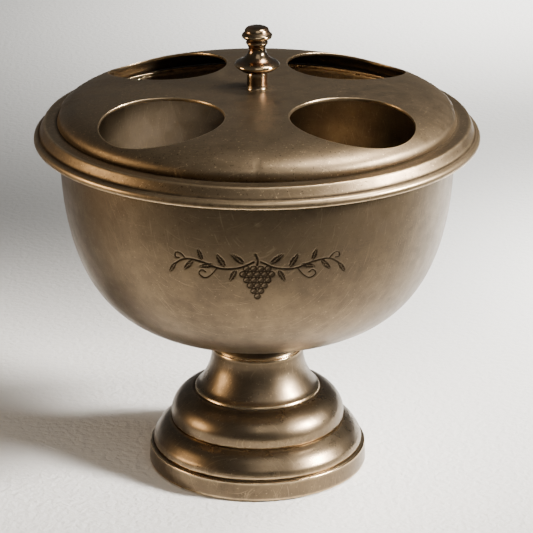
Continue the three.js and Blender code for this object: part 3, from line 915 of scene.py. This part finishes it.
class COOLER_OT_lid(bpy.types.Operator):
    """Make the lid: the dome with its bottle holes, the stepped rim and the ring that centres it"""

    bl_idname = "cooler.lid"
    bl_label = "Lid"

    def execute(self, context):
        lid = context.scene.cooler_lid
        _, base, _ = box_of("lid_dome")
        radius, sheet, height = lid.dome_radius / MM, lid.sheet / MM, lid.dome_height / MM
        outer = DomeSkin(base, radius, height)
        inner = DomeSkin(base, radius - sheet, height - sheet)
        bm = self.dome(outer, inner, lid.hole_radius / MM, lid.hole_pitch / MM)
        finished_piece("lid_dome_spun", bm, "lid_brass", "lid", "lid_dome")

        reach = lid.rim_radius / MM
        _, _, top = box_of("lid_rim")
        nose = [(reach, 310.2), (reach + 0.1, 311.8), (reach - 0.3, 313.4), (reach - 1.4, 314.7)]
        rim = [
            (167.6, top - 2.6, 0.4), (183.2, top - 2.6, 1.2), (185.4, top - 8.4, 1.2),
            (187.2, top - 11.0, 1.2), (191.6, top - 13.2, 1.0), (192.4, 308.7, 0.5),
            (reach - 0.6, 308.6, 0.7),
            *smooth_line(nose, 0.6),
            (192.6, 315.2),
            *smooth_line([(191.4, 315.7), (190.3, 316.8), (189.5, 318.4)], 0.5),
            (186.9, top - 1.0, 0.6), (186.0, top, 0.5), (184.2, top - 0.1), (176.0, top - 0.2),
            (167.6, top, 0.3),
        ]
        dirt_and_shade = [(190.6, 316.4, 1.6), (175.0, top, 1.6)]
        bm = turned(rim, 240, dirt_and_shade, longest=1.8)
        finished_piece("lid_rim_spun", bm, "lid_brass", "lid", "lid_rim")

        outer, bottom, top = box_of("lid_locating_ring")
        inner = outer - 2.6
        ring = [(inner, bottom, 0.6), (outer - 0.4, bottom, 0.6), (outer, top, 0.3), (inner, top, 0.3)]
        bm = turned(ring, 160, [(outer - 2.0, top, 2.0)])
        finished_piece("lid_locating_ring_rolled", bm, "lid_brass", "lid", "lid_locating_ring")
        return {"FINISHED"}

    def dome(self, outer, inner, hole_radius, pitch):
        """The dome, made as four equal quarters round the bottle holes and joined."""
        bm = bmesh.new()
        worn_and_highlit = bm.verts.layers.float.new("worn_and_highlit")
        grimy_and_shaded = bm.verts.layers.float.new("grimy_and_shaded")
        count = 128
        outline = self.quarter_outline(count, pitch, outer.radius)
        skins = []
        for skin, softness in ((inner, 0.4), (outer, 0.75)):
            rings = []
            for offset in (0.0, 0.12, 0.3, 0.55, 0.9, 1.5, 2.4):
                drop = 0.0
                if offset < softness:
                    drop = softness - math.sqrt(softness**2 - (softness - offset) ** 2)
                drop *= 1 if skin is outer else -1
                wall = hole_radius + offset
                around = [self.on_skin(skin, TURN * i / count, wall, pitch) for i in range(count)]
                rings.append([Vector((x, y, skin.level(math.hypot(x, y)) - drop)) * MM for x, y in around])
            share = skin.radius / outer.radius
            border = [Vector((x * share, y * share)) * MM for x, y in outline]
            for step in range(1, 19):
                flat = [start.xy.lerp(end, step / 18) for start, end in zip(rings[6], border, strict=True)]
                rings.append([Vector((*at, skin.level(at.length / MM) * MM)) for at in flat])
            skins.append(rings)
        made = ring_chain(bm, skins[0][::-1] + skins[1])
        edge_ring = len(skins[0]) - 1
        # Bare brass round each hole's lip: rubbing, and also a painted highlight along the lip.
        for i, ring in enumerate(made):
            out = edge_ring - i if i <= edge_ring else i - edge_ring - 1
            rim_wear_and_highlight = (0.73, 0.84, 1.0, 0.77, 0.45, 0.0)[min(out, 5)]
            for vert in ring:
                vert[worn_and_highlit] = rim_wear_and_highlight
        repeat_about_axis(bm, 4)
        bmesh.ops.rotate(bm, verts=bm.verts[:], cent=(0, 0, 0), matrix=Matrix.Rotation(math.pi / 4, 3, "Z"))
        crown = (inner.base + inner.height + 1) * MM
        edge = (inner.radius + 1) * MM
        rims = [e for e in bm.edges if e.is_boundary]
        rims = [e for e in rims if e.verts[0].co.z > crown or e.verts[0].co.xy.length > edge]
        closing = bmesh.ops.extrude_edge_only(bm, edges=rims)["geom"]
        for vert in closing:
            if isinstance(vert, bmesh.types.BMVert):
                vert.co.xy *= inner.radius / outer.radius
                vert.co.z = inner.level(vert.co.xy.length / MM) * MM
        bmesh.ops.remove_doubles(bm, verts=bm.verts[:], dist=2e-6)
        bmesh.ops.recalc_face_normals(bm, faces=bm.faces[:])
        # Painted shade on the dome: darker round the finial's foot, at the seam with the rim and on the
        # underside, with some residue.
        for vert in bm.verts:
            distance = vert.co.xy.length / MM
            dirt_and_shade = math.exp(-(((outer.radius - distance) / 1.2) ** 2)) * 0.5
            dirt_and_shade += math.exp(-(((distance - 9.4) / 2.0) ** 2)) * 0.8
            if distance < 9 or vert.normal.z < -0.2:
                dirt_and_shade = 0.35
            vert[grimy_and_shaded] = min(1.0, dirt_and_shade)
        return bm

    @staticmethod
    def on_skin(skin, angle, radius, pitch):
        """Where a line of the hole's wall, which leans outwards, meets the skin, seen from above."""
        lean = math.radians(9)
        centre = Vector((pitch, 0, skin.level(pitch)))
        side = Vector((math.cos(lean), 0, -math.sin(lean)))
        axis = Vector((math.sin(lean), 0, math.cos(lean)))
        start = centre + side * radius * math.cos(angle) + Vector((0, 1, 0)) * radius * math.sin(angle)
        low, high = -40.0, 40.0
        for _ in range(40):
            middle = (low + high) / 2
            at = start + axis * middle
            if at.z > skin.level(at.xy.length):
                high = middle
            else:
                low = middle
        return at.x, at.y

    @staticmethod
    def quarter_outline(count, pitch, radius):
        """The border of a quarter of the dome, met by rays from the hole's centre; its corners are kept."""
        centre = Vector((pitch, 0))
        bore = 4.6
        half = math.radians(45)
        points = []
        for i in range(count):
            ray = Vector((math.cos(TURN * i / count), math.sin(TURN * i / count)))
            reach = -centre.dot(ray) + math.sqrt(max(0.0, centre.dot(ray) ** 2 - pitch**2 + radius**2))
            for turn in (half, -half):
                normal = Vector((-math.sin(turn), math.cos(turn)))
                facing = ray.dot(normal)
                if abs(facing) > 1e-9:
                    distance = -centre.dot(normal) / facing
                    if 0 < distance < reach:
                        reach = distance
            at = centre + ray * reach
            if at.length < bore:
                at = at.normalized() * bore if at.length > 1e-6 else Vector((bore, 0))
            points.append(at)
        corners = [Vector((math.cos(t), math.sin(t))) * r for t in (half, -half) for r in (bore, radius)]
        for corner in corners:
            nearest = min(range(count), key=lambda i: (points[i] - corner).length)
            points[nearest] = corner
        return [tuple(p) for p in points]


# ---- Finial -------------------------------------------------------------------------------------


class COOLER_OT_finial(bpy.types.Operator):
    """Make the turned finial and the stud, washer and nut that hold it to the lid"""

    bl_idname = "cooler.finial"
    bl_label = "Finial"

    def execute(self, context):
        finial = context.scene.cooler_finial
        stem, saucer = finial.stem_radius / MM, finial.saucer_radius / MM
        button, top = finial.button_radius / MM, finial.top / MM
        _, bottom, seat = box_of("finial_stem")
        outline = [
            (STUD_BORE, bottom, 0.2), (stem + 0.7, bottom, 0.3), (stem + 0.5, bottom + 1.0, 0.4),
            (stem, bottom + 1.8), (stem, seat - 1.4), (stem - 0.3, seat, 0.4), (STUD_BORE, seat, 0.2),
        ]
        bm = turned(outline, 72, [(stem + 0.8, bottom, 2.0), (stem, seat, 1.2)])
        finished_piece("finial_stem_turned", bm, "turned_brass", "finial", "finial_stem")

        seat += 0.3
        under = smooth_line(
            [
                (stem + 0.5, seat), (stem + 1.6, seat + 0.6), (14.0, seat + 1.6), (17.4, seat + 4.0),
                (saucer - 0.4, seat + 5.6),
            ],
            0.8,
        )
        over = smooth_line(
            [
                (saucer, 374.0), (saucer - 0.7, 375.6), (16.8, 377.0), (13.4, 378.6), (10.4, 381.2),
                (8.3, 384.4), (7.5, 387.6), (7.9, 390.8), (9.2, 392.6),
            ],
            0.8,
        )
        cap = smooth_line(
            [
                (9.0, 395.6), (10.4, 396.8), (12.4, 398.2), (button, 399.6), (button - 0.2, 400.8),
                (11.9, 402.2), (11.0, 403.4), (10.7, 404.6), (9.6, 406.6), (7.0, top - 0.75),
                (3.6, top - 0.12), (0, top),
            ],
            0.7,
        )
        outline = [(0, 379.2), (STUD_BORE, 379.2, 0.3), (STUD_BORE, seat, 0.2), *under, *over]
        outline += [(9.7, 393.2, 0.2), (9.7, 394.2, 0.2), (8.9, 394.9, 0.2), *cap]
        dirt_and_shade = [(8.7, 395.1, 1.3), (9.6, 392.4, 1.0), (11.4, 402.6, 1.0), (stem + 0.6, seat, 1.6)]
        bm = turned(outline, 96, dirt_and_shade, longest=1.2)
        finished_piece("finial_knob_turned", bm, "turned_brass", "finial", "finial_knob")

        bm = threaded_rod("finial_stud", pitch=1.25 * MM)
        finished_piece("finial_stud_rolled", bm, "zinc_plated_steel", "finial", "finial_stud")
        bm = washer("finial_washer", STUD_BORE, 64)
        finished_piece("finial_washer_stamped", bm, "zinc_plated_steel", "finial", "finial_washer")
        bm = hexagon_nut(*nut_box("finial_nut"), STUD_BORE * MM)
        finished_piece("finial_nut_forged", bm, "zinc_plated_steel", "finial", "finial_nut")
        return {"FINISHED"}


# ---- Stage --------------------------------------------------------------------------------------


class COOLER_OT_stage(bpy.types.Operator):
    """Make the camera, the pale floor and the soft lights"""

    bl_idname = "cooler.stage"
    bl_label = "Stage"

    def execute(self, context):
        scene = context.scene
        stage = scene.cooler_stage
        camera = bpy.data.cameras.new("camera")
        camera.lens = stage.focal_length
        camera.sensor_width = 36
        camera.clip_end = 50
        holder = bpy.data.objects.new("camera", camera)
        holder.location = (0, -2.2089, 1.0278)
        holder.rotation_euler = (math.radians(90 - 20.864), 0, math.radians(-0.2133))
        scene.collection.objects.link(holder)
        scene.camera = holder

        bm = bmesh.new()
        bmesh.ops.create_grid(bm, x_segments=4, y_segments=4, size=stage.floor_size / 2)
        mesh = bpy.data.meshes.new("floor")
        bm.to_mesh(mesh)
        bm.free()
        mesh.materials.append(material_named("rolled_plaster_board"))
        floor = bpy.data.objects.new("floor", mesh)
        scene.collection.objects.link(floor)

        self.softbox("key_right", (1.72, -0.5, 1.0), (0.05, -0.08, 0.17), 0.4, 6, 25, "#fffaf3")
        self.softbox("backdrop_right", (0.85, 0.5, 1.2), (0.52, 0.4, 0), 0.4, 9, 48, "#fffdf8")
        self.softbox("backdrop_far", (0.85, 1.9, 1.4), (0.38, 1.6, 0), 0.6, 15, 58, "#fffdf8")
        self.softbox("overhead", (0.62, 0.05, 1.45), (0.06, 0, 0.33), 0.5, 2.2, 32, "#fff8ee")
        self.softbox("front_fill", (0.35, -1.4, 1.7), (0, 0, 0.2), 1.2, 5.5, 150, "#fffaf3")
        self.softbox("warm_left", (-1.4, -0.2, 0.45), (0, 0, 0.3), 0.5, 1.4, 50, "#ffdcae")
        world = bpy.data.worlds.new("studio")
        scene.world = world
        world.use_nodes = True
        background = world.node_tree.nodes["Background"]
        background.inputs["Color"].default_value = linear("#f4f2ee")
        background.inputs["Strength"].default_value = 0.15
        return {"FINISHED"}

    @staticmethod
    def softbox(name, at, aim, size, watts, spread, hex_value):
        """A square softbox. Its grid keeps the light within so many degrees."""
        light = bpy.data.lights.new(name, "AREA")
        light.shape = "SQUARE"
        light.size = size
        light.energy = watts
        light.spread = math.radians(spread)
        light.color = linear(hex_value)[:3]
        holder = bpy.data.objects.new(name, light)
        holder.location = at
        holder.rotation_euler = (Vector(aim) - Vector(at)).to_track_quat("-Z", "Y").to_euler()
        bpy.context.scene.collection.objects.link(holder)


# ---- Add-on -------------------------------------------------------------------------------------


class COOLER_PT_panel(bpy.types.Panel):
    """Sizes, colours and the buttons that build the wine cooler"""

    bl_idname = "COOLER_PT_panel"
    bl_label = "Wine Cooler"
    bl_space_type = "VIEW_3D"
    bl_region_type = "UI"
    bl_category = "Wine Cooler"

    def draw(self, context):
        for group in SIZE_GROUPS:
            box = self.layout.box()
            settings = getattr(context.scene, group)
            for key in settings.bl_rna.properties.keys():
                if key not in {"rna_type", "name"}:
                    box.prop(settings, key)
        for operator in OPERATORS:
            self.layout.operator(operator.bl_idname)


SIZE_GROUPS = {
    "cooler_foot": FootSizes,
    "cooler_bowl": BowlSizes,
    "cooler_lid": LidSizes,
    "cooler_finial": FinialSizes,
    "cooler_finish": FinishColours,
    "cooler_stage": StageSizes,
}
OPERATORS = (
    COOLER_OT_stage,
    COOLER_OT_base,
    COOLER_OT_foot,
    COOLER_OT_bowl,
    COOLER_OT_clamp,
    COOLER_OT_lid,
    COOLER_OT_finial,
)
CLASSES = (*SIZE_GROUPS.values(), *OPERATORS, COOLER_PT_panel)


def register():
    for cls in CLASSES:
        bpy.utils.register_class(cls)
    for name, group in SIZE_GROUPS.items():
        setattr(bpy.types.Scene, name, PointerProperty(type=group))


def unregister():
    for name in SIZE_GROUPS:
        delattr(bpy.types.Scene, name)
    for cls in reversed(CLASSES):
        bpy.utils.unregister_class(cls)


def main():
    register()
    for operator in OPERATORS:
        group, action = operator.bl_idname.split(".")
        getattr(getattr(bpy.ops, group), action)()


if __name__ == "__main__":
    main()
